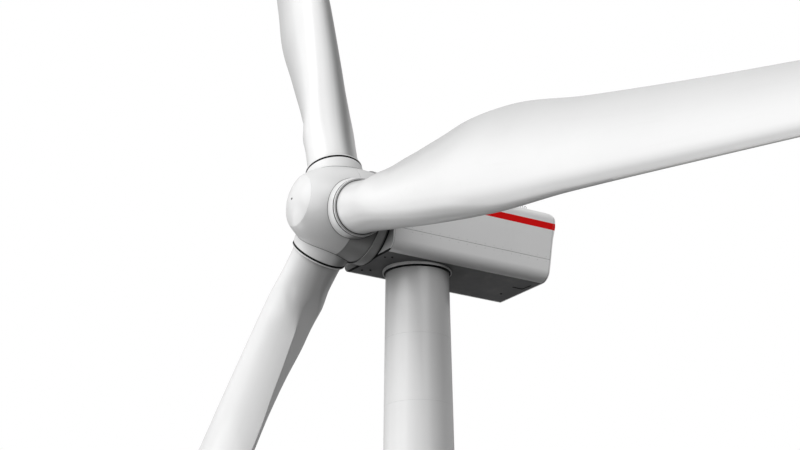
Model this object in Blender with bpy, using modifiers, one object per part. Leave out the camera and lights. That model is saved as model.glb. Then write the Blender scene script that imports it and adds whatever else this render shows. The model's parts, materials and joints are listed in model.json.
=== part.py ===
"""Wind turbine head at 1:10: nacelle, three-bladed rotor and the top section of the tower.

Metres, +Z up. The origin is the centre of the tower section's lower flange face,
and the rotor's nose points towards -Y.
"""
import math

import bmesh
import bpy
from mathutils import Matrix, Vector

OBJECT_NAME = "wind_turbine_head"
GAP = 0.0003

# Tower section
CAN_COUNT = 6
CAN_HEIGHT = 0.29
TOWER_TOP_Z = CAN_COUNT * CAN_HEIGHT
TOWER_TOP_RADIUS = 0.136
TOWER_TAPER = 0.0155
TOWER_WALL = 0.003
FLANGE_WIDTH = 0.016
FLANGE_HEIGHT = 0.012
DECK_THICKNESS = 0.004
TOWER_SIDES = 48

# Yaw joint between tower and nacelle
YAW_BEARING_RADIUS = 0.128
YAW_BEARING_BORE = 0.110
YAW_BEARING_HEIGHT = 0.0080
YAW_COLLAR_RADIUS = 0.149
YAW_COLLAR_BORE = 0.134
YAW_COLLAR_LOW = 0.0055

# Nacelle housing, heights measured from the top of the tower
HOUSING_TILT = math.radians(1.64)
HOUSING_BOTTOM = 0.016
HOUSING_TOP = 0.339
HOUSING_HALF_WIDTH = 0.209
LOWER_CORNER = 0.0476
ROOF_CORNER = 0.040
ROTOR_CLEARANCE = 0.006
REAR_BOTTOM = 0.5379
REAR_WAIST = (0.5610, 0.210)
REAR_LIP = (0.5735, 0.268)
REAR_ROOF_RADIUS = 0.046
SEAM_HEIGHT = 0.114
CUT_MARGIN = 0.05
WALL_THICKNESS = 0.006
PLATE_THICKNESS = 0.006

# Rotor axis
OVERHANG = 0.3795
HUB_HEIGHT = 0.22245
ROTOR_TILT = math.radians(4.305)
CONE_ANGLE = math.radians(3.1)
BLADE_PHASE = math.radians(107.06)
BLADE_COUNT = 3

# Hub cover, as distances along the rotor axis from the hub centre (nose positive)
DRUM_REAR = -0.1437
DRUM_FRONT = -0.100
DRUM_RADIUS = 0.2017
BODY_RADIUS = 0.1960
BODY_SHOULDER = -0.050
BODY_REACH = 0.301
DOME_CREASE = 0.1976
NOSE = 0.2292
COVER_SIDES = 48

# Main shaft
SHAFT_RADIUS = 0.040
SHAFT_REAR = -0.300
SHAFT_END_GAP = 0.004
SHAFT_BORE = SHAFT_RADIUS + GAP

# Blade root, distances from the hub centre along the pitch axis
COLLAR_INNER = 0.120
COLLAR_BASE = 0.160
COLLAR_TOP = 0.2005
COLLAR_BASE_RADIUS = 0.1276
COLLAR_TOP_RADIUS = 0.1230
PITCH_RING_RADIUS = 0.1190
PITCH_RING_WIDTH = 0.030
PITCH_RING_TOP = 0.2060
DRIP_RING_RADIUS = 0.1220
DRIP_RING_START = 0.2063
DRIP_RING_HEIGHT = 0.0080
BLADE_ROOT_RADIUS = 0.1120
DRIP_RING_BORE = (BLADE_ROOT_RADIUS + GAP) / math.cos(math.pi / TOWER_SIDES)

# Blade stations: distance from the hub centre, leading and trailing edge distance from the
# pitch axis, half thickness of the downwind and of the upwind side, and twist of the
# leading edge towards the wind in degrees
BLADE_STATIONS = (
    (0.206, BLADE_ROOT_RADIUS, BLADE_ROOT_RADIUS, BLADE_ROOT_RADIUS, BLADE_ROOT_RADIUS, 11.9),
    (0.240, 0.1090, 0.1090, 0.1090, 0.1090, 11.9),
    (0.340, 0.1080, 0.1080, 0.1080, 0.1080, 11.9),
    (0.550, 0.1140, 0.1550, 0.0875, 0.0957, 7.0),
    (0.800, 0.1220, 0.2060, 0.0813, 0.0901, 1.6),
    (1.050, 0.1250, 0.2580, 0.0764, 0.0831, 0.4),
    (1.350, 0.1280, 0.2910, 0.0613, 0.0610, 5.0),
    (1.900, 0.0990, 0.2440, 0.0396, 0.0359, 3.8),
    (2.600, 0.0750, 0.1990, 0.0230, 0.0210, 2.1),
    (3.400, 0.0530, 0.1610, 0.0170, 0.0140, 1.6),
    (4.200, 0.0420, 0.1100, 0.0115, 0.0095, 0.8),
    (4.800, 0.0320, 0.0700, 0.0075, 0.0065, 0.2),
    (5.100, 0.0210, 0.0360, 0.0040, 0.0035, 0.0),
    (5.200, 0.0060, 0.0080, 0.0015, 0.0015, 0.0),
)
# Thickness of the blunt trailing edge at a distance from the hub centre
TAIL_STATIONS = (
    (0.206, 0.0004),
    (0.320, 0.0004),
    (0.430, 0.072),
    (0.570, 0.062),
    (0.690, 0.040),
    (0.800, 0.027),
    (0.950, 0.013),
    (1.400, 0.012),
    (3.400, 0.006),
    (4.800, 0.003),
    (5.200, 0.001),
)
ROOT_CYLINDER_END = 0.313
FOIL_START = 0.554
SECTION_POINTS = 13
FOIL_PEAK = 0.10
LOFT_STEPS = 38

# Lifting loops along both roof edges near the rear
STRIP_CENTRE = (0.164, 0.437)
STRIP_LENGTH = 0.044
STRIP_WIDTH = 0.012
STRIP_HEIGHT = 0.002
LOOP_OFFSET = 0.009
LOOP_RADIUS = 0.0056
LOOP_WIRE = 0.0012

COLOURS = {
    "tower": (0.72, 0.73, 0.73),
    "housing": (0.74, 0.74, 0.74),
    "underside": (0.30, 0.30, 0.31),
    "cover": (0.86, 0.86, 0.86),
    "blade": (0.88, 0.88, 0.88),
    "steel": (0.35, 0.36, 0.37),
    "seal": (0.03, 0.03, 0.03),
}
METALS = ("steel",)


def clear_scene():
    for item in list(bpy.data.objects):
        bpy.data.objects.remove(item, do_unlink=True)


def make_collection(name):
    collection = bpy.data.collections.new(name)
    bpy.context.scene.collection.children.link(collection)
    return collection


def material_for(name, colour_key):
    material = bpy.data.materials.new(name + "_finish")
    material.use_nodes = True
    shader = material.node_tree.nodes["Principled BSDF"]
    shader.inputs["Base Color"].default_value = COLOURS[colour_key] + (1.0,)
    shader.inputs["Roughness"].default_value = 0.45
    shader.inputs["Metallic"].default_value = 0.8 if colour_key in METALS else 0.0
    return material


def link_object(name, mesh, parent, colour_key, sharp=math.radians(35)):
    mesh.name = name
    mesh.shade_smooth()
    mesh.set_sharp_from_angle(angle=sharp)
    mesh.materials.clear()
    mesh.materials.append(material_for(name, colour_key))
    item = bpy.data.objects.new(name, mesh)
    item.parent = parent
    PARTS.objects.link(item)
    return item


def empty(name, parent=None, matrix=Matrix.Identity(4)):
    item = bpy.data.objects.new(name, None)
    item.empty_display_size = 0.05
    item.parent = parent
    item.matrix_local = matrix
    PARTS.objects.link(item)
    return item


def mesh_from(bm):
    bmesh.ops.recalc_face_normals(bm, faces=bm.faces)
    mesh = bpy.data.meshes.new("mesh")
    bm.to_mesh(mesh)
    bm.free()
    return mesh


def turned_mesh(profile, sides, loop=False):
    """A closed solid of revolution about Z from (radius, height) points, top to bottom."""
    count = len(profile)
    edges = [(index, index + 1) for index in range(count - 1)]
    if loop or profile[0][0] > 0 or profile[-1][0] > 0:
        edges.append((count - 1, 0))
    outline = bpy.data.meshes.new("outline")
    outline.from_pydata([(radius, 0.0, height) for radius, height in profile], edges, [])
    holder = bpy.data.objects.new("turned", outline)
    CUTTERS.objects.link(holder)
    turn = holder.modifiers.new("turn", "SCREW")
    turn.axis = "Z"
    turn.steps = sides
    turn.render_steps = sides
    turn.use_merge_vertices = True
    turn.merge_threshold = 0.00001
    bm = bmesh.new()
    bm.from_mesh(evaluated_mesh(holder))
    return mesh_from(bm)


def evaluated_mesh(item):
    """The mesh that an object's modifiers make; the object itself is removed."""
    graph = bpy.context.evaluated_depsgraph_get()
    mesh = bpy.data.meshes.new_from_object(item.evaluated_get(graph))
    bpy.data.objects.remove(item, do_unlink=True)
    return mesh


def ring_profile(outer, inner, low, high):
    return ((inner, high), (outer, high), (outer, low), (inner, low))


def disc_profile(radius, low, high):
    return ((0, high), (radius, high), (radius, low), (0, low))


def prism_mesh(outline, low, high, along="Y"):
    """A prism along Y from (x, z) points, or along X from (y, z) points."""
    bm = bmesh.new()
    if along == "Y":
        corners = [(first, low, height) for first, height in outline]
    else:
        corners = [(low, first, height) for first, height in outline]
    face = bm.faces.new([bm.verts.new(corner) for corner in corners])
    moved = bmesh.ops.extrude_face_region(bm, geom=[face])["geom"]
    verts = [part for part in moved if isinstance(part, bmesh.types.BMVert)]
    run = (0, high - low, 0) if along == "Y" else (high - low, 0, 0)
    bmesh.ops.translate(bm, verts=verts, vec=run)
    return mesh_from(bm)


def cut_plane(bm, point, normal):
    """Removes what lies on the normal's side of a plane and closes the cut."""
    geometry = list(bm.verts) + list(bm.edges) + list(bm.faces)
    bmesh.ops.bisect_plane(bm, geom=geometry, dist=1e-7, plane_co=point, plane_no=normal,
                           clear_outer=True)
    rim = [edge for edge in bm.edges if edge.is_boundary]
    if rim:
        bmesh.ops.holes_fill(bm, edges=rim, sides=0)


def sliced_mesh(blank, planes):
    bm = bmesh.new()
    bm.from_mesh(blank)
    for point, normal in planes:
        cut_plane(bm, point, normal)
    return mesh_from(bm)


def cutter(name, mesh, parent):
    item = bpy.data.objects.new(name, mesh)
    item.parent = parent
    item.hide_render = True
    item.display_type = "WIRE"
    CUTTERS.objects.link(item)
    return item


def subtract(item, tool):
    modifier = item.modifiers.new("cut_" + tool.name, "BOOLEAN")
    modifier.operation = "DIFFERENCE"
    modifier.solver = "EXACT"
    modifier.object = tool


def arc_points(centre, radius, start, end, count):
    points = []
    for step in range(count + 1):
        angle = start + (end - start) * step / count
        points.append((centre[0] + radius * math.cos(angle), centre[1] + radius * math.sin(angle)))
    return points


def tower_radius(height):
    return TOWER_TOP_RADIUS + TOWER_TAPER * (TOWER_TOP_Z - height)


def build_tower(root):
    for index in range(CAN_COUNT):
        low = index * CAN_HEIGHT + (FLANGE_HEIGHT + GAP if index == 0 else GAP / 2)
        high = (index + 1) * CAN_HEIGHT - (0.0 if index == CAN_COUNT - 1 else GAP / 2)
        outer_low = tower_radius(low)
        outer_high = tower_radius(high)
        profile = ((outer_high - TOWER_WALL, high), (outer_high, high),
                   (outer_low, low), (outer_low - TOWER_WALL, low))
        link_object(f"tower_can_{index + 1}", turned_mesh(profile, TOWER_SIDES), root, "tower")
    flange_outer = tower_radius(0)
    flange_inner = flange_outer - FLANGE_WIDTH
    link_object("lower_flange", turned_mesh(
        ring_profile(flange_outer, flange_inner, 0, FLANGE_HEIGHT), TOWER_SIDES), root, "tower")
    deck = turned_mesh(disc_profile(flange_inner - GAP, 0, DECK_THICKNESS), TOWER_SIDES)
    link_object("flange_deck", deck, root, "steel")
    top_outer = TOWER_TOP_RADIUS - TOWER_WALL - GAP
    top_flange = turned_mesh(ring_profile(top_outer, YAW_BEARING_BORE,
                                          TOWER_TOP_Z - FLANGE_HEIGHT, TOWER_TOP_Z), TOWER_SIDES)
    link_object("top_flange", top_flange, root, "steel")
    bearing_low = TOWER_TOP_Z + GAP
    bearing = turned_mesh(ring_profile(YAW_BEARING_RADIUS, YAW_BEARING_BORE, bearing_low,
                                       TOWER_TOP_Z + YAW_BEARING_HEIGHT), TOWER_SIDES)
    link_object("yaw_bearing", bearing, root, "seal")


def housing_outline():
    """Outline (x, z) of the housing's end, with quarter-round corners above and below."""
    low = (HOUSING_HALF_WIDTH - LOWER_CORNER, HOUSING_BOTTOM + LOWER_CORNER)
    high = (HOUSING_HALF_WIDTH - ROOF_CORNER, HOUSING_TOP - ROOF_CORNER)
    right = arc_points(low, LOWER_CORNER, -math.pi / 2, 0.0, 10)
    right += arc_points(high, ROOF_CORNER, 0.0, math.pi / 2, 8)
    left = [(-x, z) for x, z in reversed(right)]
    return right + left


def rear_outline():
    """Outline (y, z) of what lies behind the housing's rear end, going up and round."""
    bend = (REAR_LIP[0] - REAR_ROOF_RADIUS, HOUSING_TOP - REAR_ROOF_RADIUS)
    above = HOUSING_TOP + CUT_MARGIN
    beyond = REAR_LIP[0] + 2 * CUT_MARGIN
    outline = [rear_point(-CUT_MARGIN), REAR_WAIST, REAR_LIP]
    outline += arc_points(bend, REAR_ROOF_RADIUS, 0.0, math.pi / 2, 6)
    outline += [(bend[0], above), (beyond, above), (beyond, -CUT_MARGIN)]
    return outline


def rear_point(height, inset=0.0):
    """Point (y, z) at a height on the rear end's straight lower run, moved in by the inset."""
    lean = (REAR_WAIST[0] - REAR_BOTTOM) / (REAR_WAIST[1] - HOUSING_BOTTOM)
    return REAR_BOTTOM + lean * (height - HOUSING_BOTTOM) - inset, height


def front_plane():
    """Point and outward normal of the front face, square to the rotor axis, in the housing's frame."""
    level = Matrix.Rotation(HOUSING_TILT, 3, "X")
    nose = Vector((0, -math.cos(ROTOR_TILT), math.sin(ROTOR_TILT)))
    point = Vector((0, -OVERHANG, HUB_HEIGHT)) + nose * (DRUM_REAR - ROTOR_CLEARANCE)
    return level @ point, level @ nose


def housing_blank():
    """The whole outside of the housing: the end outline run along Y, cut to the front and rear."""
    width = HOUSING_HALF_WIDTH + CUT_MARGIN
    length = REAR_LIP[0] + CUT_MARGIN
    blank = cutter("housing_blank", prism_mesh(housing_outline(), -OVERHANG, length), None)
    behind = cutter("behind_rear", prism_mesh(rear_outline(), -width, width, along="X"), None)
    subtract(blank, behind)
    shape = evaluated_mesh(blank)
    bpy.data.objects.remove(behind, do_unlink=True)
    return sliced_mesh(shape, [front_plane()])


def box_mesh(low, high):
    bm = bmesh.new()
    size = Vector(high) - Vector(low)
    centre = (Vector(high) + Vector(low)) / 2
    matrix = Matrix.Translation(centre) @ Matrix.Diagonal(size.to_4d())
    bmesh.ops.create_cube(bm, size=1.0, matrix=matrix)
    return mesh_from(bm)


def build_housing(frame):
    blank = housing_blank()
    foot = Vector((0, *rear_point(HOUSING_BOTTOM, WALL_THICKNESS)))
    waist = Vector((0, *rear_point(REAR_WAIST[1], WALL_THICKNESS)))
    rear_normal = Vector((0, waist.z - foot.z, foot.y - waist.y)).normalized()
    front_point, front_normal = front_plane()
    front_inner = front_point - front_normal * WALL_THICKNESS
    ends = [(foot - rear_normal * GAP, rear_normal), (front_inner - front_normal * GAP, front_normal)]
    up = Vector((0, 0, 1))
    seam_low = Vector((0, 0, SEAM_HEIGHT - GAP / 2))
    seam_high = Vector((0, 0, SEAM_HEIGHT + GAP / 2))

    upper = link_object("upper_housing", sliced_mesh(blank, ends + [(seam_high, -up)]), frame, "housing")
    lower = link_object("lower_housing", sliced_mesh(blank, ends + [(seam_low, up)]), frame, "housing")
    link_object("rear_wall", sliced_mesh(blank, [(foot, -rear_normal)]), frame, "housing")
    front = link_object("front_wall", sliced_mesh(blank, [(front_inner, -front_normal)]), frame, "housing")

    edge = HOUSING_HALF_WIDTH - LOWER_CORNER
    plate_top = HOUSING_BOTTOM + PLATE_THICKNESS
    rebate_low = (-edge, -OVERHANG, -CUT_MARGIN)
    rebate = cutter("bottom_rebate", box_mesh(rebate_low, (edge, 2 * REAR_BOTTOM, plate_top)), frame)
    subtract(lower, rebate)
    low = (GAP - edge, -OVERHANG, HOUSING_BOTTOM)
    high = (edge - GAP, 2 * REAR_BOTTOM, plate_top - GAP)
    link_object("underside_plate", sliced_mesh(box_mesh(low, high), ends), frame, "underside")
    return upper, front


def build_collar(yaw, frame):
    seat = YAW_BEARING_HEIGHT + GAP
    high = HOUSING_BOTTOM * 2
    profile = ((YAW_BEARING_BORE, high), (YAW_COLLAR_RADIUS, high), (YAW_COLLAR_RADIUS, YAW_COLLAR_LOW),
               (YAW_COLLAR_BORE, YAW_COLLAR_LOW), (YAW_COLLAR_BORE, seat), (YAW_BEARING_BORE, seat))
    collar = link_object("yaw_collar", turned_mesh(profile, TOWER_SIDES), yaw, "tower")
    low = (-HOUSING_HALF_WIDTH, -HOUSING_HALF_WIDTH, HOUSING_BOTTOM - GAP)
    above = cutter("above_underside", box_mesh(low, (HOUSING_HALF_WIDTH, HOUSING_HALF_WIDTH, 0.2)), frame)
    subtract(collar, above)


def build_lifting_loops(frame):
    """A strip with two loops on each side of the roof."""
    seat = HOUSING_TOP + GAP
    half = STRIP_LENGTH / 2
    ring = arc_points((LOOP_RADIUS, 0.0), LOOP_WIRE, 0.0, -2 * math.pi, 8)[:-1]
    centre = STRIP_CENTRE[1]
    for side, x in enumerate((STRIP_CENTRE[0], -STRIP_CENTRE[0])):
        strip = box_mesh((x - STRIP_WIDTH / 2, centre - half, seat),
                         (x + STRIP_WIDTH / 2, centre + half, seat + STRIP_HEIGHT))
        link_object(f"lifting_strip_{side + 1}", strip, frame, "steel")
        for place, offset in enumerate((-LOOP_OFFSET, LOOP_OFFSET)):
            name = f"lifting_loop_{2 * side + place + 1}"
            loop = link_object(name, turned_mesh(ring, 20, loop=True), frame, "tower")
            loop.rotation_euler = (0, math.pi / 2, 0)
            loop.location = (x, centre + offset, seat + STRIP_HEIGHT + GAP + LOOP_RADIUS + LOOP_WIRE)


def shoulder_radius(distance):
    """Radius of the cover's body: an ellipse from the shoulder forward, level behind it."""
    share = max(0.0, (distance - BODY_SHOULDER) / BODY_REACH)
    return BODY_RADIUS * math.sqrt(1.0 - share ** 2)


def shoulder_points(offset=0.0):
    """The cover's body from the crease of the dome back to the drum, as (radius, distance)."""
    span = DOME_CREASE - BODY_SHOULDER
    steps = 14
    points = []
    for step in range(steps + 1):
        distance = DOME_CREASE - span * step / steps
        points.append((shoulder_radius(distance) + offset, distance))
    points.append((BODY_RADIUS + offset, DRUM_FRONT + GAP))
    return points


def dome_points(offset=0.0):
    """A shallow cap, part of one sphere, from the nose to the crease."""
    height = NOSE - DOME_CREASE
    rim = shoulder_radius(DOME_CREASE)
    sphere = (rim ** 2 + height ** 2) / (2 * height)
    limit = math.asin(rim / sphere)
    steps = 8
    points = []
    for step in range(steps + 1):
        angle = limit * step / steps
        points.append((sphere * math.sin(angle) + (offset if step else 0.0),
                       NOSE - sphere + sphere * math.cos(angle) + offset))
    return points


def build_cover(rotor):
    drum = ring_profile(DRUM_RADIUS, SHAFT_BORE, DRUM_REAR, DRUM_FRONT)
    link_object("cover_rear_drum", turned_mesh(drum, COVER_SIDES), rotor, "cover")
    crease = DOME_CREASE - GAP
    body = [(0, crease), (shoulder_radius(DOME_CREASE) + GAP / 2, crease)]
    body += shoulder_points()[1:] + [(0, DRUM_FRONT + GAP)]
    link_object("cover_body", turned_mesh(body, COVER_SIDES), rotor, "cover")
    dome = dome_points() + [(0, DOME_CREASE)]
    link_object("cover_dome", turned_mesh(dome, COVER_SIDES), rotor, "cover")


def cover_clearance():
    """The outside of the whole hub cover, larger by the gap."""
    profile = dome_points(GAP) + shoulder_points(GAP)
    profile += [(DRUM_RADIUS + GAP, DRUM_FRONT), (DRUM_RADIUS + GAP, DRUM_REAR - GAP), (0, DRUM_REAR - GAP)]
    return turned_mesh(profile, COVER_SIDES)


def build_shaft(rotor):
    shaft = disc_profile(SHAFT_RADIUS, SHAFT_REAR, DRUM_FRONT - GAP)
    link_object("main_shaft", turned_mesh(shaft, 32), rotor, "steel")


def blade_matrix(index):
    angle = BLADE_PHASE + index * 2 * math.pi / BLADE_COUNT
    root_out = Matrix(((0, 0, 1, 0), (-1, 0, 0, 0), (0, -1, 0, 0), (0, 0, 0, 1)))
    cone = Matrix.Rotation(-CONE_ANGLE, 4, "Y")
    return Matrix.Rotation(angle, 4, "Z") @ cone @ root_out


def smooth_step(value):
    value = max(0.0, min(1.0, value))
    return value * value * (3 - 2 * value)


def curve_at(table, distance):
    """The row of a table at a distance, from a smooth curve through its stations."""
    last = len(table) - 1
    index = max(i for i in range(last) if table[i][0] <= distance + 1e-9)
    low, high = table[index], table[index + 1]
    run = high[0] - low[0]
    share = (distance - low[0]) / run
    ease_low = 2 * share ** 3 - 3 * share ** 2 + 1
    slope_low = run * (share ** 3 - 2 * share ** 2 + share)
    slope_high = run * (share ** 3 - share ** 2)
    values = []
    for column in range(1, len(low)):
        value = ease_low * low[column] + (1 - ease_low) * high[column]
        value += slope_low * table_slope(table, index, column)
        value += slope_high * table_slope(table, index + 1, column)
        values.append(value)
    return values


def table_slope(table, index, column):
    """A slope that never overshoots: the harmonic mean of the slopes on both sides."""
    if index == 0:
        return 0.0
    before = (table[index][column] - table[index - 1][column]) / (table[index][0] - table[index - 1][0])
    if index == len(table) - 1:
        return before
    after = (table[index + 1][column] - table[index][column]) / (table[index + 1][0] - table[index][0])
    return 2 * before * after / (before + after) if before * after > 0 else 0.0


def foil_half_thickness(along):
    """Half thickness of a wing section over its chord, from 0 at the nose to 0 at the tail, peak 1."""
    shape = 0.2969 * math.sqrt(along) - 0.126 * along - 0.3516 * along ** 2
    shape += 0.2843 * along ** 3 - 0.1036 * along ** 4
    return shape / FOIL_PEAK


def section_points(distance):
    """Closed outline of the blade at one station: x towards the leading edge, y downwind."""
    lead, trail, downwind, upwind, twist = curve_at(BLADE_STATIONS, distance)
    tail = curve_at(TAIL_STATIONS, distance)[0]
    blend = smooth_step((distance - ROOT_CYLINDER_END) / (FOIL_START - ROOT_CYLINDER_END))
    turn = Matrix.Rotation(-math.radians(twist), 2)
    outline = []
    for side, half in ((1, downwind), (-1, upwind)):
        row = []
        for step in range(SECTION_POINTS + 1):
            along = (1 - math.cos(math.pi * step / SECTION_POINTS)) / 2
            circle = 2 * math.sqrt(along * (1 - along))
            thick = half * ((1 - blend) * circle + blend * foil_half_thickness(along))
            thick += tail / 2 * along ** 2
            row.append(turn @ Vector((lead - along * (lead + trail), side * thick)))
        outline += row if side > 0 else list(reversed(row[1:]))
    return outline


def blade_mesh():
    """The blade as a loft through its stations, from the drip ring to the tip."""
    bm = bmesh.new()
    loops = []
    for distance in blade_distances():
        loops.append([bm.verts.new((x, y, distance)) for x, y in section_points(distance)])
    count = len(loops[0])
    for lower, upper in zip(loops, loops[1:]):
        for i in range(count):
            j = (i + 1) % count
            bm.faces.new((lower[i], lower[j], upper[j], upper[i]))
    bm.faces.new(list(reversed(loops[0])))
    bm.faces.new(loops[-1])
    return mesh_from(bm)


def blade_distances():
    """Stations closer together where the shape changes fast, near the root and at the tip."""
    start = DRIP_RING_START
    span = BLADE_STATIONS[-1][0] - start
    distances = []
    for step in range(LOFT_STEPS + 1):
        share = step / LOFT_STEPS
        distances.append(start + span * (0.45 * share + 0.55 * share ** 2 * (1.5 - 0.5 * share)))
    return distances


def build_blade(rotor, index, collar_source, cover_tool):
    frame = empty(f"pitch_axis_{index + 1}", rotor, blade_matrix(index))
    collar = link_object(f"blade_collar_{index + 1}", collar_source.copy(), frame, "cover")
    subtract(collar, cover_tool)
    inner = PITCH_RING_RADIUS - PITCH_RING_WIDTH
    bearing = ring_profile(PITCH_RING_RADIUS, inner, COLLAR_TOP + GAP, PITCH_RING_TOP)
    link_object(f"pitch_bearing_{index + 1}", turned_mesh(bearing, TOWER_SIDES), frame, "seal")
    link_object(f"blade_{index + 1}", BLADE_SHAPE.copy(), frame, "blade", sharp=math.radians(50))
    ring = ring_profile(DRIP_RING_RADIUS, DRIP_RING_BORE, DRIP_RING_START,
                        DRIP_RING_START + DRIP_RING_HEIGHT)
    link_object(f"drip_ring_{index + 1}", turned_mesh(ring, TOWER_SIDES), frame, "cover")


def bore_housing(upper, front, rotor):
    """The shaft's blind bore through the front wall into the upper housing."""
    space = disc_profile(SHAFT_BORE, SHAFT_REAR - SHAFT_END_GAP, DRUM_REAR + ROTOR_CLEARANCE)
    bore = cutter("shaft_bore", turned_mesh(space, 32), rotor)
    subtract(upper, bore)
    subtract(front, bore)


clear_scene()
PARTS = make_collection(OBJECT_NAME)
CUTTERS = make_collection(OBJECT_NAME + "_cutters")

tower_frame = empty("tower_base")
build_tower(tower_frame)

yaw_axis = empty("yaw_axis", None, Matrix.Translation((0, 0, TOWER_TOP_Z)))
housing_frame = empty("housing_frame", yaw_axis, Matrix.Rotation(-HOUSING_TILT, 4, "X"))
upper_housing, front_wall = build_housing(housing_frame)
build_collar(yaw_axis, housing_frame)
build_lifting_loops(housing_frame)

lay_down = Matrix.Rotation(math.pi / 2 - ROTOR_TILT, 4, "X")
rotor_axis = empty("rotor_axis", yaw_axis, Matrix.Translation((0, -OVERHANG, HUB_HEIGHT)) @ lay_down)
build_cover(rotor_axis)
build_shaft(rotor_axis)
bore_housing(upper_housing, front_wall, rotor_axis)

cover_tool = cutter("cover_clearance", cover_clearance(), rotor_axis)
collar_profile = ((0, COLLAR_TOP), (COLLAR_TOP_RADIUS, COLLAR_TOP), (COLLAR_BASE_RADIUS, COLLAR_BASE),
                  (COLLAR_BASE_RADIUS, COLLAR_INNER), (0, COLLAR_INNER))
collar_shape = turned_mesh(collar_profile, TOWER_SIDES)
BLADE_SHAPE = blade_mesh()
for blade_index in range(BLADE_COUNT):
    build_blade(rotor_axis, blade_index, collar_shape, cover_tool)
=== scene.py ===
"""Looks of the wind turbine head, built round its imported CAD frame."""
import json
import math

import bmesh
import bpy
from mathutils import Matrix, Vector


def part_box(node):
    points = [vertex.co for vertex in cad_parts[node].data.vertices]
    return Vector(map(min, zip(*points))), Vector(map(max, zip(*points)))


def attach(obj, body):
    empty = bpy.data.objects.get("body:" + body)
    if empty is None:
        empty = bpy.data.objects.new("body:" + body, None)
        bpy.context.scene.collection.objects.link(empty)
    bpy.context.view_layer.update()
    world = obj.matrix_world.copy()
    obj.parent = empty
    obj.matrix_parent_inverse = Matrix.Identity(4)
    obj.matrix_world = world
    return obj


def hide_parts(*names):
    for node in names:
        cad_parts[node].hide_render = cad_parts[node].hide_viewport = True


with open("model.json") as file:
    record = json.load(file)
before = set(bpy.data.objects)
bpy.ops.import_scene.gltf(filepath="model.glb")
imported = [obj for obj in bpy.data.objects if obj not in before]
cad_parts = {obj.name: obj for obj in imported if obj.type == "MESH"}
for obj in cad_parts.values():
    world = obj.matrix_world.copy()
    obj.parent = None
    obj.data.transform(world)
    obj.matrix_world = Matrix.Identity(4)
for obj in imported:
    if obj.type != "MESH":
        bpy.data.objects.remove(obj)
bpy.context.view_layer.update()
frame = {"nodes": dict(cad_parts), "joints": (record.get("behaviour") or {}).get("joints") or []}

NODES = frame["nodes"]
JOINTS = {joint["name"]: joint for joint in frame["joints"]}

# Frames of the machine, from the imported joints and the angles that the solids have
HOUSING_TILT = math.radians(1.64)
CONE_ANGLE = math.radians(3.1)
BLADE_PHASE = math.radians(107.06)
BLADES = (1, 2, 3)
YAW_CENTRE = Vector(JOINTS["yaw"]["pos_m"])
HUB_CENTRE = Vector(JOINTS["rotor_spin"]["pos_m"])
NOSE_WAY = -Vector(JOINTS["rotor_spin"]["axis"]).normalized()
HUB_UP = NOSE_WAY.cross(Vector((1, 0, 0)))

# Tower: cans, their weld beads and the taper
CANS = (1, 2, 3, 4, 5, 6)
TURN_STEPS = 144
CAN_WALL = 0.003
WELD_WIDTH = 0.0009
WELD_HEIGHT = 0.00008
TOWER_TOP_RADIUS = 0.136
TOWER_TAPER = 0.0155

# Lower flange
FLANGE_HOLES = 60
HOLE_RADIUS = 0.0028
HOLE_RIM = 0.0003
HOLE_DEPTH = 0.8
FLANGE_WIDTH = 0.016
FLANGE_HEIGHT = 0.012

# Yaw collar, with the inner and outer radius of its seal and the radius and height of its bolt heads
YAW_RING_LOW = 0.0055
YAW_RING_EDGE = 0.0012
YAW_SEAL = (0.1366, 0.1428)
YAW_SEAL_DEPTH = 0.0012
YAW_BOLT_CIRCLE = 0.1460
YAW_BOLTS = 36
YAW_BOLT_HEAD = (0.0027, 0.0016)

# Painted shade: how dark, and where it falls on a collar, on the hub's rear and from the top down the tower
SHADE_SHARE = 0.80
COLLAR_SHADE_DOWN = 0.77
COLLAR_SHADE_BACK = 0.64
COLLAR_SHADE_EDGE = 0.50
COLLAR_SHADE_RUN = 0.35
REAR_SHELL_SHADE = 0.75
DRUM_SHADE = 0.78
DRUM_EDGE_SHADE = 0.90
DRUM_EDGE = 0.006
DRUM_EDGE_FADE = (1.1, 1.3)
DRUM_DROP = (2.3, 1.29)
SIDE_DROP = (0.5, 1.2)
TOWER_SHADE = 0.30
TOWER_SHADE_REACH = 0.65

# Housing, in its own frame
GAP = 0.0003
# Height of the black strip painted as shade along the front wall's foot
FRONT_SHADE_HEIGHT = 0.007
HOUSING_BOTTOM = 0.016
HOUSING_TOP = 0.339
HOUSING_HALF_WIDTH = 0.209
REAR_BOTTOM = 0.5379
REAR_WAIST = (0.5610, 0.210)
SEAM_HEIGHT = 0.114
EDGE_ROUND = 0.0015
SCREW_PITCH = 0.045
SCREW_SPAN = (-0.15, 0.51)
SCREW_OFFSET = 0.011
SCREW_RADIUS = 0.0015
SCREW_HEIGHT = 0.0007
UNDERSIDE_PLUGS = ((-0.113, -0.208), (-0.094, -0.178), (0.091, -0.213), (0.107, -0.188), (-0.057, 0.466))
PLUG_RADIUS = 0.0045
PLUG_HEIGHT = 0.0022
PLUG_NUT_HEIGHT = 0.0045
LATCH_BENDS = ((0.0505, 0.4555), (0.0500, 0.5054), (0.1117, 0.5108))
LATCH_RADIUS = 0.0018
LATCH_SINK = 0.0005
STRIP_EDGE = 0.0006

# Plates on the housing: how much wider than the opening, thickness, corner and edge radius
HATCH_CENTRE = (0.0, 0.13)
HATCH_SIZE = (0.19, 0.24)
HATCH_COAMING = (0.02, 0.004, 0.02, 0.0012)
HATCH_LID = (0.0, 0.010, 0.014, 0.003)
DOOR_SIZE = (0.13, 0.15)
DOOR_PLACE = 0.085
DOOR_HEIGHT = 0.10
DOOR_FRAME = (0.014, 0.0025, 0.012, 0.0008)
DOOR_LEAF = (0.0, 0.006, 0.009, 0.002)
VENT_FRAME = (0.006, 0.003, 0.008, 0.001)

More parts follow.
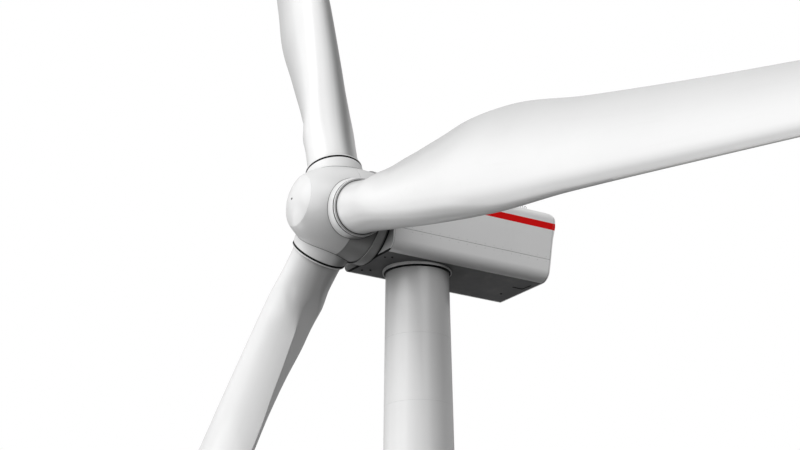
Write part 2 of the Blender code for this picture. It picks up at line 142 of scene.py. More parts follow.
# Hinges: size of the leaf, radius and height of its screws, and where these sit on it
HATCH_HINGE = ((0.030, 0.020, 0.002, 0.003, 0.0006), (0.0025, 0.0036), ((0.009, -0.002), (-0.009, -0.002)))
HATCH_HINGE_PLACE = 0.055
HATCH_HINGE_INSET = 0.004
DOOR_HINGE = ((0.014, 0.022, 0.0016, 0.003, 0.0005), (0.0018, 0.0026), ((0, 0.006), (0, -0.006)))
DOOR_HINGE_LEVEL = 0.045
DOOR_HINGE_INSET = 0.006

# Hatch grip, as places across and above the lid, and the door's lock
GRIP_BENDS = ((-0.03, 0.0095), (-0.03, 0.020), (-0.026, 0.024), (0.026, 0.024), (0.03, 0.020), (0.03, 0.0095))
GRIP_RADIUS = 0.002
GRIP_INSET = 0.025
LOCK_INSET = 0.014
LOCK_PLATE = (0.012, 0.034, 0.0014, 0.004, 0.0005)
LOCK_HANDLE = (0.006, 0.026, 0.0050, 0.0028, 0.0012)

# Slats of the vent
SLATS = 9
SLAT_FORM = (0.0035, 0.001, 0.0009)
SLAT_SHARE = 0.86
SLAT_MARGIN = (0.014, 0.012)
SLAT_LIFT = 0.0010
SLAT_TILT = -0.22

# Hub cover along the rotor axis
WALL_PLACE = -0.1500
LABYRINTH = (0.1925, 0.1995)
LIP_GAP = 0.0020
DRUM_REAR = -0.1437
DRUM_FRONT = -0.100
DRUM_RADIUS = 0.2017
DRUM_RIM = 0.003
DRUM_BOLTS = 24
DRUM_BOLT_CIRCLE = 0.165
DRUM_BOLT_HEAD = (0.003, 0.0012)
DRUM_BOLT_SINK = 0.0002
BODY_BORE = 0.06
BODY_RADIUS = 0.1960
BODY_SHOULDER = -0.050
SHELL_SEAM = 0.0
SEAM_WIDTH = 0.0008
SEAM_DEPTH = 0.0005
BODY_REACH = 0.301
DOME_CREASE = 0.1976
NOSE = 0.2292
NOSE_PLUG_RADIUS = 0.0046
NOSE_PLUG_ROUND = 0.0012
NOSE_PLUG_DEPTH = 0.002
SHAFT_RADIUS = 0.040

# Blade roots along the pitch axis
COLLAR_INNER = 0.120
COLLAR_BASE = 0.160
COLLAR_TOP = 0.1998
COLLAR_BASE_RADIUS = 0.1276
COLLAR_TOP_RADIUS = 0.1230
COLLAR_SEAL_RADIUS = 0.0011
ROOT_BORE = 0.10
PITCH_SEAL_RADIUS = 0.1216
DRIP_RING_RADIUS = 0.1220
DRIP_RING_START = 0.2074
DRIP_RING_HEIGHT = 0.0069
DRIP_RING_ROUND = (0.002, 0.003)
ROOT_SEAL_ROUND = 0.0012
ROOT_SEAL_SEAT = (0.0004, 0.0002)
BLADE_ROOT_RADIUS = 0.1120

# Blade stations: distance from the hub centre, leading and trailing edge distance from the
# pitch axis, half thickness of the downwind and of the upwind side, and twist in degrees
BLADE_STATIONS = (
    (0.206, BLADE_ROOT_RADIUS, BLADE_ROOT_RADIUS, BLADE_ROOT_RADIUS, BLADE_ROOT_RADIUS, 11.9),
    (0.240, 0.1090, 0.1090, 0.1090, 0.1090, 11.9),
    (0.340, 0.1080, 0.1080, 0.1080, 0.1080, 11.9),
    (0.550, 0.1140, 0.1550, 0.0875, 0.0957, 7.0),
    (0.800, 0.1220, 0.2060, 0.0813, 0.0901, 1.6),
    (1.050, 0.1250, 0.2580, 0.0764, 0.0831, 0.4),
    (1.350, 0.1280, 0.2910, 0.0613, 0.0610, 5.0),
    (1.900, 0.0990, 0.2440, 0.0396, 0.0359, 3.8),
    (2.600, 0.0750, 0.1990, 0.0230, 0.0210, 2.1),
    (3.400, 0.0530, 0.1610, 0.0170, 0.0140, 1.6),
    (4.200, 0.0420, 0.1100, 0.0115, 0.0095, 0.8),
    (4.800, 0.0320, 0.0700, 0.0075, 0.0065, 0.2),
    (5.100, 0.0210, 0.0360, 0.0040, 0.0035, 0.0),
    (5.200, 0.0060, 0.0080, 0.0015, 0.0015, 0.0),
)
TAIL_STATIONS = (
    (0.206, 0.0004),
    (0.320, 0.0004),
    (0.430, 0.072),
    (0.570, 0.062),
    (0.690, 0.040),
    (0.800, 0.027),
    (0.950, 0.013),
    (1.400, 0.012),
    (3.400, 0.006),
    (4.800, 0.003),
    (5.200, 0.001),
)
ROOT_CYLINDER_END = 0.313
FOIL_START = 0.554
FOIL_PEAK = 0.10
SECTION_POINTS = 26
LOFT_STEPS = 110

# Stripe on the housing's sides, heights in the housing's own frame
STRIPE_LOW = 0.253
STRIPE_HIGH = 0.284

# Colours of the paints, of what soils them and of the painted light and shade
HUB_WHITE = (0.72, 0.72, 0.72)
BLADE_WHITE = (0.79, 0.79, 0.79)
COLLAR_WHITE = (0.76, 0.76, 0.76)
TOWER_WHITE = (0.72, 0.72, 0.72)
# Painted light: the yaw ring is a brighter white than the tower, for the light its curved side catches
YAW_RING_LIT_WHITE = (0.95, 0.95, 0.95)
HOUSING_GREY = (0.82, 0.82, 0.82)
# The underside's own darker grey, made darker still as painted shade
UNDERSIDE_GREY_AND_SHADE = (0.10, 0.10, 0.104)
FRONT_GREY = (0.85, 0.85, 0.85)
# Painted shade: the drum is a darker copy of the hub's white, for the shadow it lies in
DRUM_SHADE_GREY = (0.60, 0.60, 0.60)
COAT_ROUGHNESS = 0.14
SHADE_DARK = (0.02, 0.02, 0.02)
RAIN_STREAK = (0.40, 0.38, 0.34)
SPECK = (0.30, 0.29, 0.27)
BLADE_WASH = (0.45, 0.43, 0.39)
SHADE_BLACK = (0.0, 0.0, 0.0)
BAND_GREY = (0.70, 0.70, 0.68)
BAND_PIT = (0.42, 0.40, 0.36)
PAINT_GRAIN = 260.0
PAINT_RELIEF = 0.0006
CORNER_SHADE_REACH = 0.16
PAINT_COAT = 0.30
BLADE_GLOSS = 0.33
BLADE_COAT = 0.45

# Painted shade on the blade: place from leading (0) to trailing edge (1), and how much it darkens the
# paint. For each blade the painted shade along its leading edge has a strength, the distance where it
# starts and whether only the downwind side has it
TRAILING_SHADE_STEPS = ((0.30, 0.0), (0.42, 0.02), (0.55, 0.12), (0.66, 0.21), (0.80, 0.29), (1.0, 0.38))
LEADING_SHADE_STEPS = ((0.0, 0.38), (0.10, 0.42), (0.17, 0.40), (0.23, 0.14), (0.30, 0.0))
LEADING_SHADE = {1: (1.5, -0.6, True), 2: (0.1, 0.4, False), 3: (1.0, 0.4, False)}
LEADING_SHADE_RUN = 1.0
LEADING_SHADE_SIDE = 20.0

# Leading-edge band, as a share of the half outline and the distance where it starts
BAND_WIDTH = 0.075
BAND_START = 2.2

# Lightning receptors: distance from the hub centre and disc radius
RECEPTORS = ((3.4, 0.008), (5.0, 0.006))
RECEPTOR_PROUD = 0.0005

# Camera, floor and light
CAMERA_PLACE = (6.898879, -4.193114, -0.791836)
CAMERA_AZIMUTH = math.radians(59.224)
CAMERA_ELEVATION = math.radians(-18.869)
CAMERA_ROLL = math.radians(-0.3414)
CAMERA_LENS = 89.028
CAMERA_SENSOR = 36.0
CAMERA_REACH = 200.0
FLOOR_HEIGHT = -3.45
FLOOR_RADIUS = 90.0
WORLD_FILL = 0.03
REAR_FILL = 0.30
REAR_WALL_WAY = (-0.777, 0.467, 0.423)

# Soft lamps: name, azimuth and elevation of where they stand, strength and spread in degrees
LAMPS = (
    ("key", 75, 30, 1.08, 50),
    ("above_front", 0, 30, 1.33, 50),
    ("front", 30, 0, 0.95, 50),
    ("high_front", 30, 45, 0.60, 50),
    ("low_left", -45, -15, 1.20, 50),
    ("high_left", -45, 30, 0.27, 50),
    ("top_rear", 239, 55, 0.40, 90),
    ("low_right", 110, -15, 0.11, 60),
    ("rear", 185, 5, 0.22, 50),
)


def basis(origin, right, ahead, up):
    """A frame whose X, Y and Z axes are the three given directions."""
    matrix = Matrix((right, ahead, up)).transposed().to_4x4()
    matrix.translation = origin
    return matrix


def housing_frame():
    return Matrix.Translation(YAW_CENTRE) @ Matrix.Rotation(-HOUSING_TILT, 4, "X")


def rotor_frame():
    """Z runs to the nose and X is the machine's own X."""
    return basis(HUB_CENTRE, Vector((1, 0, 0)), HUB_UP, NOSE_WAY)


def blade_frame(number):
    """Z runs from root to tip, X to the leading edge and Y downwind."""
    turn = Matrix.Rotation(BLADE_PHASE + (number - 1) * math.tau / len(BLADES), 4, "Z")
    cone = Matrix.Rotation(-CONE_ANGLE, 4, "Y")
    outward = Matrix(((0, 0, 1, 0), (-1, 0, 0, 0), (0, -1, 0, 0), (0, 0, 0, 1)))
    return rotor_frame() @ turn @ cone @ outward


def turned(profile, steps=TURN_STEPS, loop=False):
    """A solid of revolution about Z from (radius, height) points."""
    bm = bmesh.new()
    verts = [bm.verts.new((radius, 0, height)) for radius, height in profile]
    edges = [bm.edges.new(pair) for pair in zip(verts, verts[1:])]
    if loop or profile[0][0] > 0 or profile[-1][0] > 0:
        edges.append(bm.edges.new((verts[-1], verts[0])))
    bmesh.ops.spin(bm, geom=verts + edges, cent=(0, 0, 0), axis=(0, 0, 1), angle=math.tau,
                   steps=steps, use_merge=True, use_duplicate=False)
    bmesh.ops.remove_doubles(bm, verts=bm.verts, dist=1e-6)
    bmesh.ops.recalc_face_normals(bm, faces=bm.faces)
    return bm


def arc(centre, radius, start, end, steps=6):
    """Points of an arc about a centre, angles in degrees."""
    points = []
    for step in range(steps + 1):
        angle = math.radians(start + (end - start) * step / steps)
        points.append((centre[0] + radius * math.cos(angle), centre[1] + radius * math.sin(angle)))
    return points


def round_edges(bm, edges, width, segments):
    bmesh.ops.bevel(bm, geom=edges, offset=width, offset_type="OFFSET", segments=segments, profile=0.5,
                    affect="EDGES", clamp_overlap=True, material=-1)


def soften(bm, width, least=math.radians(30)):
    """Rounds every edge that is sharper than an angle."""
    edges = [edge for edge in bm.edges if edge.is_manifold and edge.calc_face_angle(0.0) > least]
    round_edges(bm, edges, width, 2)


def cut_level(bm, height):
    """Cuts a mesh along a level and keeps both sides."""
    geometry = list(bm.verts) + list(bm.edges) + list(bm.faces)
    bmesh.ops.bisect_plane(bm, geom=geometry, dist=1e-7, plane_co=(0, 0, height), plane_no=(0, 0, 1))


def plate(width, length, thickness, corner, edge, matrix=Matrix.Identity(4)):
    """A flat plate with round corners that stands on Z = 0 with its upper rim rounded over."""
    bm = bmesh.new()
    size = Matrix.Diagonal((width, length, thickness, 1))
    bmesh.ops.create_cube(bm, size=1.0, matrix=Matrix.Translation((0, 0, thickness / 2)) @ size)
    upright = [side for side in bm.edges if abs(side.verts[0].co.z - side.verts[1].co.z) > thickness / 2]
    round_edges(bm, upright, corner, 5)
    rim = [side for side in bm.edges if min(vert.co.z for vert in side.verts) > thickness / 2]
    round_edges(bm, rim, edge, 2)
    bmesh.ops.transform(bm, matrix=matrix, verts=bm.verts)
    return bm


def gather(parts):
    """One bmesh from several."""
    whole = bmesh.new()
    scratch = bpy.data.meshes.new("scratch")
    for part in parts:
        part.to_mesh(scratch)
        part.free()
        whole.from_mesh(scratch)
    bpy.data.meshes.remove(scratch)
    return whole


def bolt(radius, height, matrix, sides=6):
    """A bolt or screw head that stands on Z = 0 with its upper rim rounded over."""
    bm = bmesh.new()
    bmesh.ops.create_cone(bm, cap_ends=True, segments=sides, radius1=radius, radius2=radius, depth=height,
                          matrix=Matrix.Translation((0, 0, height / 2)))
    rim = [side for side in bm.edges if min(vert.co.z for vert in side.verts) > height / 2]
    round_edges(bm, rim, height * 0.3, 1)
    bmesh.ops.transform(bm, matrix=matrix, verts=bm.verts)
    return bm


def bolt_circle(count, circle, radius, height, level):
    """Hexagon heads on a circle about Z, hanging down from a level."""
    flip = Matrix.Rotation(math.pi, 4, "X")
    heads = []
    for index in range(count):
        turn = Matrix.Rotation(math.tau * (index + 0.5) / count, 4, "Z")
        heads.append(bolt(radius, height, turn @ Matrix.Translation((circle, 0, level)) @ flip))
    return gather(heads)


def bead(path, radius, upward, sides=8, closed=True):
    """A round bead along a path: rings set square to it and bridged one to the next."""
    bm = bmesh.new()
    rings = []
    last = len(path) - 1
    for index, spot in enumerate(path):
        before = path[index - 1] if closed or index > 0 else spot
        after = path[(index + 1) % len(path)] if closed or index < last else spot
        along = (after - before).normalized()
        across = upward.cross(along).normalized()
        matrix = basis(spot, across, along.cross(across), along)
        ring = bmesh.ops.create_circle(bm, cap_ends=False, radius=radius, segments=sides, matrix=matrix)
        rings.append(list({edge for vert in ring["verts"] for edge in vert.link_edges}))
    pairs = list(zip(rings, rings[1:]))
    if closed:
        pairs.append((rings[-1], rings[0]))
    for lower, upper in pairs:
        bmesh.ops.bridge_loops(bm, edges=lower + upper)
    if not closed:
        bmesh.ops.holes_fill(bm, edges=[edge for edge in bm.edges if edge.is_boundary], sides=0)
    bmesh.ops.recalc_face_normals(bm, faces=bm.faces)
    return bm


def place_in_scene(name, data):
    item = bpy.data.objects.new(name, data)
    bpy.context.scene.collection.objects.link(item)
    return item


def add_piece(name, bm, matrix, body, finishes, stands_for=(), sharp=30):
    """Turns a bmesh into a finished piece that rides on a body."""
    bmesh.ops.transform(bm, matrix=matrix, verts=bm.verts)
    mesh = bpy.data.meshes.new(name)
    bm.to_mesh(mesh)
    bm.free()
    mesh.shade_smooth()
    mesh.set_sharp_from_angle(angle=math.radians(sharp))
    for finish in finishes:
        mesh.materials.append(finish)
    piece = place_in_scene(name, mesh)
    even = piece.modifiers.new("even_shading", "WEIGHTED_NORMAL")
    even.keep_sharp = True
    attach(piece, body)
    if stands_for:
        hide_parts(*stands_for)
    return piece


def merged_copy(node, matrix):
    """A merged copy of a CAD node in the given frame, with its flat faces made whole again."""
    bm = bmesh.new()
    bm.from_mesh(NODES[node].data)
    bmesh.ops.remove_doubles(bm, verts=bm.verts, dist=2e-6)
    bmesh.ops.transform(bm, matrix=matrix.inverted(), verts=bm.verts)
    bmesh.ops.dissolve_limit(bm, angle_limit=math.radians(0.4), verts=bm.verts, edges=bm.edges,
                             use_dissolve_boundaries=False)
    return bm


def ease(value):
    value = max(0.0, min(1.0, value))
    return value * value * (3 - 2 * value)


def table_slope(table, index, column):
    if index == 0:
        return 0.0
    before = (table[index][column] - table[index - 1][column]) / (table[index][0] - table[index - 1][0])
    if index == len(table) - 1:
        return before
    after = (table[index + 1][column] - table[index][column]) / (table[index + 1][0] - table[index][0])
    return 2 * before * after / (before + after) if before * after > 0 else 0.0


def curve_at(table, distance):
    """The row of a table at a distance, from a smooth curve through its stations."""
    last = len(table) - 1
    index = max(i for i in range(last) if table[i][0] <= distance + 1e-9)
    low, high = table[index], table[index + 1]
    run = high[0] - low[0]
    share = (distance - low[0]) / run
    ease_low = 2 * share ** 3 - 3 * share ** 2 + 1
    slope_low = run * (share ** 3 - 2 * share ** 2 + share)
    slope_high = run * (share ** 3 - share ** 2)
    values = []
    for column in range(1, len(low)):
        value = ease_low * low[column] + (1 - ease_low) * high[column]
        value += slope_low * table_slope(table, index, column)
        value += slope_high * table_slope(table, index + 1, column)
        values.append(value)
    return values


def foil_half_thickness(along):
    shape = 0.2969 * math.sqrt(along) - 0.126 * along - 0.3516 * along ** 2
    shape += 0.2843 * along ** 3 - 0.1036 * along ** 4
    return shape / FOIL_PEAK


def section_points(distance):
    """Closed outline of the blade at one station: x towards the leading edge, y downwind."""
    lead, trail, downwind, upwind, twist = curve_at(BLADE_STATIONS, distance)
    tail = curve_at(TAIL_STATIONS, distance)[0]
    blend = ease((distance - ROOT_CYLINDER_END) / (FOIL_START - ROOT_CYLINDER_END))
    turn = Matrix.Rotation(-math.radians(twist), 2)
    outline = []
    for side, half in ((1, downwind), (-1, upwind)):
        row = []
        for step in range(SECTION_POINTS + 1):
            along = (1 - math.cos(math.pi * step / SECTION_POINTS)) / 2
            circle = 2 * math.sqrt(along * (1 - along))
            thick = half * ((1 - blend) * circle + blend * foil_half_thickness(along))
            thick += tail / 2 * along ** 2
            row.append(turn @ Vector((lead - along * (lead + trail), side * thick)))
        outline += row if side > 0 else list(reversed(row[1:]))
    return outline


def blade_distances():
    start = BLADE_STATIONS[0][0] + GAP
    span = BLADE_STATIONS[-1][0] - start
    distances = []
    for step in range(LOFT_STEPS + 1):
        share = step / LOFT_STEPS
        distances.append(start + span * (0.45 * share + 0.55 * share ** 2 * (1.5 - 0.5 * share)))
    return distances


def outline_loop(bm, layer, distance):
    """One outline of the blade; each point keeps its share from leading to trailing edge and its distance."""
    verts = []
    for index, (x, y) in enumerate(section_points(distance)):
        step = min(index, 2 * SECTION_POINTS + 1 - index)
        vert = bm.verts.new((x, y, distance))
        vert[layer] = (step / SECTION_POINTS, distance, 0)
        verts.append(vert)
    return [bm.edges.new((vert, verts[(index + 1) % len(verts)])) for index, vert in enumerate(verts)]


def blade_form():
    """The blade's skin: outlines at its stations, bridged one to the next and closed at both ends."""
    bm = bmesh.new()
    layer = bm.verts.layers.float_vector.new("skin")
    loops = [outline_loop(bm, layer, distance) for distance in blade_distances()]
    for lower, upper in zip(loops, loops[1:]):
        bmesh.ops.bridge_loops(bm, edges=lower + upper)
    bmesh.ops.holes_fill(bm, edges=[edge for edge in bm.edges if edge.is_boundary], sides=0)
    bmesh.ops.recalc_face_normals(bm, faces=bm.faces)
    return bm


def join(out, into):
    """Links two sockets in the node tree that both belong to."""
    out.id_data.links.new(out, into)


def add_node(tree, kind, **inputs):
    """A shader node with some of its sockets set, or joined where the value is another node's socket."""
    node = tree.nodes.new("ShaderNode" + kind)
    for socket, value in inputs.items():
        if isinstance(value, bpy.types.NodeSocket):
            join(value, node.inputs[socket])
        else:
            node.inputs[socket].default_value = value
    return node


def attribute_of(tree, name):
    node = add_node(tree, "Attribute")
    node.attribute_name = name
    return node.outputs


def place_of(tree, scale=(1, 1, 1), attribute=None):
    """A pattern's coordinates: the object's own, or one of the mesh's attributes, stretched by a scale."""
    if attribute:
        place = attribute_of(tree, attribute)["Vector"]
    else:
        place = add_node(tree, "TexCoord").outputs["Object"]
    return add_node(tree, "Mapping", Vector=place, Scale=scale).outputs["Vector"]


def noise(place, scale, detail=4.0, roughness=0.5):
    node = add_node(place.id_data, "TexNoise", Vector=place, Scale=scale, Detail=detail, Roughness=roughness)
    return node.outputs["Fac"]


def speckle(place, scale):
    """Distance to scattered points, for specks and pits."""
    return add_node(place.id_data, "TexVoronoi", Vector=place, Scale=scale).outputs["Distance"]


def levels(value, low, high, to_low=0.0, to_high=1.0):
    """Stretches a value's range from low..high to another one, held at its ends."""
    ends = {"From Min": low, "From Max": high, "To Min": to_low, "To Max": to_high}
    return add_node(value.id_data, "MapRange", Value=value, **ends).outputs["Result"]


def combine(operation, first, second):
    node = add_node(first.id_data, "Math")
    node.operation = operation
    join(first, node.inputs[0])
    join(second, node.inputs[1])
    return node.outputs[0]


def product(first, second):
    return combine("MULTIPLY", first, second)


def tint(share, first, second):
    """Goes from one colour, or a colour already made, to another by a share."""
    node = add_node(share.id_data, "Mix")
    node.data_type = "RGBA"
    join(share, node.inputs["Factor"])
    for socket, colour in (("A", first), ("B", second)):
        slot = [entry for entry in node.inputs if entry.name == socket and entry.type == "RGBA"][0]
        if isinstance(colour, tuple):
            slot.default_value = (*colour, 1)
        else:
            join(colour, slot)
    return [entry for entry in node.outputs if entry.type == "RGBA"][0]


def relief(heights, depth):
    """Bump from several patterns in turn, each with its own share of the depth in metres."""
    normal = None
    for height, share in heights:
        node = add_node(height.id_data, "Bump", Strength=share, Distance=depth, Height=height)
        if normal:
            join(normal, node.inputs["Normal"])
        normal = node.outputs["Normal"]
    return normal


def start_finish(name, metallic=0.0, coat=0.0):
    material = bpy.data.materials.new(name)
    material.use_nodes = True
    shader = material.node_tree.nodes["Principled BSDF"]
    shader.inputs["Metallic"].default_value = metallic
    shader.inputs["Coat Weight"].default_value = coat
    shader.inputs["Coat Roughness"].default_value = COAT_ROUGHNESS
    return material, material.node_tree, shader


def end_finish(shader, colour, roughness, normal):
    join(colour, shader.inputs["Base Color"])
    join(roughness, shader.inputs["Roughness"])
    join(normal, shader.inputs["Normal"])


def shade(colour, factor):
    return tuple(channel * factor for channel in colour)


def corner_shade(tone):
    """Painted shade: darkens the paint in corners and under close neighbours, where an ambient-occlusion test
    finds them hidden.
    """
    corner = add_node(tone.id_data, "AmbientOcclusion", Distance=CORNER_SHADE_REACH)
    corner.samples = 8
    return tint(levels(corner.outputs["AO"], 0.25, 0.97, 0.92, 0.0), tone, SHADE_DARK)


def painted(name, colour, gloss, coat, streak_scale, streak_share=0.05):
    """Sprayed paint or gel coat: clouds, rain streaks and specks, painted shade in corners and where the mesh
    asks for it, and an orange-peel surface.
    """
    material, tree, shader = start_finish(name, coat=coat)
    plain = place_of(tree)
    streaks = place_of(tree, streak_scale)
    clouds = levels(noise(plain, 3.1, 5.0), 0.35, 0.7)
    tone = tint(clouds, shade(colour, 1.012), shade(colour, 0.982))
    run = levels(noise(streaks, 1.0, 6.0, 0.6), 0.55, 0.82, 0.0, streak_share)
    tone = tint(run, tone, RAIN_STREAK)
    specks = levels(speckle(plain, 34.0), 0.020, 0.034, 0.22, 0.0)
    tone = tint(product(specks, clouds), tone, SPECK)
    # Painted shade in corners and under close neighbours
    tone = corner_shade(tone)
    # Painted shade, as much as the mesh's stain attribute asks for
    shaded = levels(attribute_of(tree, "stain_and_shade")["Fac"], 0.0, 1.0, 0.0, SHADE_SHARE)
    tone = tint(shaded, tone, SHADE_DARK)
    rough = levels(noise(plain, 14.0, 5.0, 0.6), 0.3, 0.7, gloss - 0.05, gloss + 0.05)
    peel = noise(plain, PAINT_GRAIN, 2.0)
    waves = noise(plain, 7.0, 2.0)
    normal = relief(((peel, 0.10), (waves, 0.16)), PAINT_RELIEF)
    end_finish(shader, tone, rough, normal)
    return material


def painted_shade_share(edge, steps):
    """Share of painted shade at a place between the leading (0) and the trailing edge (1)."""
    ramp = add_node(edge.id_data, "ValToRGB", Fac=edge)
    ramp.color_ramp.interpolation = "B_SPLINE"
    stops = ramp.color_ramp.elements
    stops[0].position, stops[1].position = steps[0][0], steps[-1][0]
    for place, share in steps[1:-1]:
        stops.new(place)
    for stop, (place, share) in zip(stops, steps):
        stop.color = (share, share, share, 1)
    return ramp.outputs["Color"]


def blade_finish():
    """Blade paint, with the matt protection band that covers the leading edge of the outer blade."""
    material, tree, shader = start_finish("blade_paint", coat=BLADE_COAT)
    plain = place_of(tree)
    edge, span, dirt_and_shade = add_node(tree, "SeparateXYZ", Vector=attribute_of(tree, "skin")["Vector"]).outputs
    drawn = place_of(tree, (9.0, 0.9, 9.0), "skin")
    clouds = levels(noise(plain, 2.3, 5.0), 0.35, 0.7)
    tone = tint(clouds, shade(BLADE_WHITE, 1.012), shade(BLADE_WHITE, 0.985))
    wash = levels(noise(drawn, 2.0, 6.0, 0.6), 0.55, 0.85, 0.0, 0.06)
    tone = tint(wash, tone, BLADE_WASH)
    # Painted shade towards the trailing edge
    tone = tint(painted_shade_share(edge, TRAILING_SHADE_STEPS), tone, SHADE_BLACK)
    # Painted shade along the leading edge
    tone = tint(product(painted_shade_share(edge, LEADING_SHADE_STEPS), dirt_and_shade), tone, SHADE_BLACK)
    # Painted shade in corners and under close neighbours
    tone = corner_shade(tone)
    near = levels(edge, BAND_WIDTH, BAND_WIDTH * 1.04, 1.0, 0.0)
    band = product(near, levels(span, BAND_START, BAND_START + 0.003))
    tone = tint(levels(band, 0.0, 1.0, 0.0, 0.5), tone, BAND_GREY)
    pits = product(levels(speckle(plain, 60.0), 0.03, 0.09, 0.5, 0.0), band)
    tone = tint(pits, tone, BAND_PIT)
    grain = noise(plain, 12.0, 5.0, 0.6)
    rough = levels(grain, 0.3, 0.7, BLADE_GLOSS - 0.05, BLADE_GLOSS + 0.05)
    rough = combine("ADD", rough, levels(band, 0.0, 1.0, 0.0, 0.12))
    peel = noise(plain, 300.0, 2.0)
    waves = noise(drawn, 1.5, 2.0)
    normal = relief(((peel, 0.10), (waves, 0.12), (band, 0.3)), PAINT_RELIEF)
    end_finish(shader, tone, rough, normal)
    return material


def seal_finish():
    """Black rubber with a fine mould grain, greyed by dust."""
    material, tree, shader = start_finish("seal_black")
    shader.inputs["Specular IOR Level"].default_value = 0.15
    plain = place_of(tree)
    dust = levels(noise(plain, 24.0, 6.0, 0.65), 0.45, 0.8, 0.0, 0.35)
    tone = tint(dust, (0.004, 0.004, 0.0045), (0.020, 0.020, 0.019))
    rough = levels(noise(plain, 60.0, 4.0), 0.3, 0.7, 0.55, 0.75)
    normal = relief(((noise(plain, 900.0, 2.0), 0.35),), 0.0004)
    end_finish(shader, tone, rough, normal)
    return material


def steel_finish(name, colour, gloss, lines, rust=0.0):
    """Machined or galvanised steel: fine tool marks, spangle and a little brown stain."""
    material, tree, shader = start_finish(name, metallic=0.9)
    plain = place_of(tree)
    drawn = place_of(tree, lines)
    spangle = levels(speckle(plain, 140.0), 0.0, 0.7)
    tone = tint(spangle, shade(colour, 1.12), shade(colour, 0.86))
    stain_and_shade = levels(noise(plain, 20.0, 7.0, 0.7), 0.56, 0.75, 0.0, rust)
    tone = tint(stain_and_shade, tone, (0.16, 0.085, 0.045))
    rough = levels(noise(drawn, 30.0, 5.0, 0.6), 0.3, 0.7, gloss - 0.08, gloss + 0.12)
    marks = noise(drawn, 120.0, 2.0)
    normal = relief(((marks, 0.3), (spangle, 0.05)), 0.0003)
    end_finish(shader, tone, rough, normal)
    return material


def stripe_finish():
    """Red film along the housing: even colour, slightly faded and scuffed."""
    material, tree, shader = start_finish("stripe_red")
    shader.inputs["Specular IOR Level"].default_value = 0.12
    plain = place_of(tree)
    fade = levels(noise(plain, 5.0, 5.0), 0.35, 0.7)
    tone = tint(fade, (0.80, 0.0035, 0.0035), (0.70, 0.006, 0.006))
    scuff = levels(noise(place_of(tree, (40.0, 6.0, 60.0)), 2.0, 7.0, 0.7), 0.62, 0.8, 0.0, 0.12)
    tone = tint(scuff, tone, (0.75, 0.10, 0.09))
    rough = levels(noise(plain, 18.0, 5.0), 0.3, 0.7, 0.45, 0.58)
    normal = relief(((noise(plain, 320.0, 2.0), 0.12),), 0.0005)
    end_finish(shader, tone, rough, normal)
    return material


def deck_finish():
    """Tread plate: raised bars in two directions on grey steel."""
    material, tree, shader = start_finish("tread_plate", metallic=0.7)
    plain = place_of(tree)
    bars = []
    for turn in (math.radians(45), math.radians(-45)):
        mapping = add_node(tree, "Mapping", Vector=plain, Rotation=(0, 0, turn))
        wave = add_node(tree, "TexWave", Vector=mapping.outputs["Vector"], Scale=22.0)
        bars.append(levels(wave.outputs["Fac"], 0.75, 0.9))
    tread = product(bars[0], bars[1])
    tone = tint(tread, (0.20, 0.20, 0.21), (0.36, 0.36, 0.37))
    dirt_and_shade = levels(noise(plain, 9.0, 6.0), 0.45, 0.8, 0.0, 0.5)
    tone = tint(dirt_and_shade, tone, (0.10, 0.09, 0.08))
    rough = levels(dirt_and_shade, 0.0, 0.5, 0.42, 0.7)
    normal = relief(((tread, 0.8),), 0.001)
    end_finish(shader, tone, rough, normal)
    return material


def floor_finish():
    material, tree, shader = start_finish("floor_pale")
    plain = place_of(tree)
    tone = tint(noise(plain, 0.6, 3.0), (0.86, 0.86, 0.86), (0.83, 0.83, 0.83))
    rough = levels(noise(plain, 4.0, 3.0), 0.3, 0.7, 0.65, 0.8)
    normal = relief(((noise(plain, 40.0, 2.0), 0.02),), 0.001)
    end_finish(shader, tone, rough, normal)
    return material


HUB_GELCOAT = painted("hub_gelcoat", HUB_WHITE, 0.36, PAINT_COAT, (14.0, 14.0, 1.6))
# Painted shade: darker than the hub's gel coat
DRUM_SHADED_GELCOAT = painted("drum_shaded_gelcoat", DRUM_SHADE_GREY, 0.38, PAINT_COAT, (14.0, 14.0, 1.6), 0.12)
COLLAR_GELCOAT = painted("collar_gelcoat", COLLAR_WHITE, 0.36, PAINT_COAT, (10.0, 10.0, 10.0), 0.03)
BLADE_PAINT = blade_finish()
TOWER_PAINT = painted("tower_paint", TOWER_WHITE, 0.36, PAINT_COAT, (26.0, 26.0, 0.9))
# Painted light: brighter than the tower's paint
YAW_RING_LIT_PAINT = painted("yaw_ring_lit_paint", YAW_RING_LIT_WHITE, 0.36, PAINT_COAT, (26.0, 26.0, 0.9))
HOUSING_GRP = painted("housing_grp", HOUSING_GREY, 0.38, PAINT_COAT, (20.0, 20.0, 1.8))
FRONT_GRP = painted("front_grp", FRONT_GREY, 0.45, 0.0, (8.0, 8.0, 8.0), 0.15)
UNDERSIDE_GRP = painted("underside_grp", UNDERSIDE_GREY_AND_SHADE, 0.5, 0.0, (5.0, 9.0, 5.0), 0.25)
STRIPE_RED = stripe_finish()
SEAL_BLACK = seal_finish()
BRIGHT_STEEL = steel_finish("bright_steel", (0.62, 0.62, 0.63), 0.30, (3.0, 3.0, 40.0))
ZINC_STEEL = steel_finish("zinc_steel", (0.42, 0.43, 0.44), 0.45, (6.0, 6.0, 6.0), 0.35)
TREAD_PLATE = deck_finish()


def stain_and_shade(bm, share_at):
    """Keeps at each point of a mesh how much painted shade darkens its paint there."""
    layer = bm.verts.layers.float.new("stain_and_shade")
    for vert in bm.verts:
        vert[layer] = share_at(vert.co)


